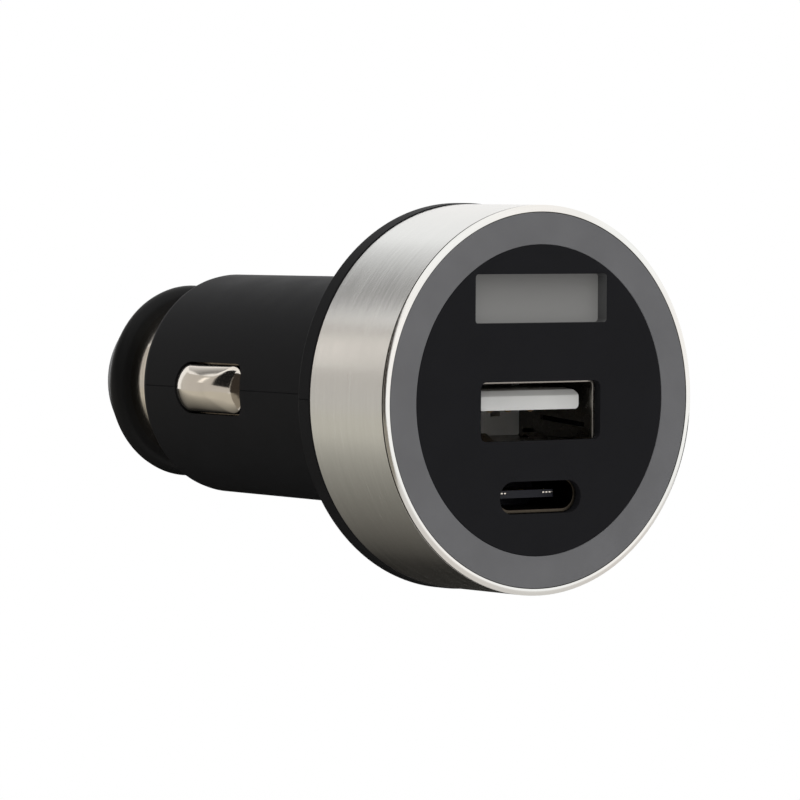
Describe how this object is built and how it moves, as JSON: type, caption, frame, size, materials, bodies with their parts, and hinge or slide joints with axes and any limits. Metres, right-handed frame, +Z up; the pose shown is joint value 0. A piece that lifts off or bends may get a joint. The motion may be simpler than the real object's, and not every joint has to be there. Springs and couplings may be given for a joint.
{
  "type": "car usb charger plug",
  "caption": "Car charger plug with a round steel-rimmed head, a meter window, a wide and a small charging port, sprung side contacts and a sprung tip.",
  "frame": {"origin": "on the plug's axis at the rear face of the collar, which stops against the socket's rim", "axes": "+Y along the plug from its face towards the tip contact, +Z up with the meter window above the ports, +X to the right of someone who looks at the face"},
  "size_m": [0.0342, 0.0615, 0.0342],
  "materials": {
    "shell_black": "fine matte moulded",
    "steel_brushed": "brushed round, polished front lip",
    "light_guide": "satin translucent grey",
    "face_black": "smooth satin black",
    "window_grey": "smoked satin",
    "module_black": "moulded",
    "board_green": "solder mask",
    "lamp_white": "clear cast",
    "port_steel": "stamped, tin plated",
    "tongue_pale": "moulded",
    "contact_gold": "gold plated",
    "tongue_dark": "moulded",
    "ferrite": "sintered",
    "copper_wire": "enamelled",
    "capacitor_blue": "shrunk sleeve",
    "capacitor_can": "drawn",
    "chip_black": "moulded",
    "fuse_ceramic": "ceramic",
    "nickel": "polished nickel plate",
    "cup_white": "moulded",
    "nose_black": "satin moulded",
    "spring_steel": "drawn wire",
    "brass_plain": "stamped"
  },
  "bodies": {
    "housing": {"upper_shell": "shell_black", "lower_shell": "shell_black", "trim_ring": "steel_brushed", "light_ring": "light_guide", "face_plate": "face_black", "display_window": "window_grey", "digit_module": "module_black", "display_board": "board_green", "lamp_1": "lamp_white", "lamp_2": "lamp_white", "lamp_3": "lamp_white", "lamp_4": "lamp_white", "lamp_5": "lamp_white", "lamp_6": "lamp_white", "lamp_7": "lamp_white", "lamp_8": "lamp_white", "main_board": "board_green", "port_board": "board_green", "wide_port_shell": "port_steel", "wide_port_tongue": "tongue_pale", "wide_port_contact_1": "contact_gold", "wide_port_contact_2": "contact_gold", "wide_port_contact_3": "contact_gold", "wide_port_contact_4": "contact_gold", "small_port_shell": "port_steel", "small_port_tongue": "tongue_dark", "small_port_contacts": "contact_gold", "header_block": "module_black", "header_pins": "contact_gold", "inductor_core": "ferrite", "inductor_coil": "copper_wire", "input_capacitor": "capacitor_blue", "output_capacitor": "capacitor_can", "converter_chip": "chip_black", "charge_chip": "chip_black", "diode": "chip_black", "fuse": "fuse_ceramic", "neck_ring": "nickel", "insulator_cup": "cup_white", "nose_cap": "nose_black", "tip_spring": "spring_steel", "tip_terminal": "brass_plain"},
    "tip": {"tip_contact": "nickel"},
    "left_side": {"left_contact": "nickel"},
    "right_side": {"right_contact": "nickel"}
  },
  "joints": [
    {"name": "tip_press", "type": "slide", "parent": "housing", "child": "tip", "axis": [0, -1, 0], "range_m": [0, 0.0025], "stiffness_N_per_m": 3000, "springref_m": -0.0015, "deforming": ["tip_spring"]},
    {"name": "left_press", "type": "slide", "parent": "housing", "child": "left_side", "axis": [1, 0, 0], "range_m": [0, 0.0013], "stiffness_N_per_m": 4000, "springref_m": -0.0005},
    {"name": "right_press", "type": "slide", "parent": "housing", "child": "right_side", "axis": [-1, 0, 0], "range_m": [0, 0.0013], "stiffness_N_per_m": 4000, "springref_m": -0.0005}
  ]
}
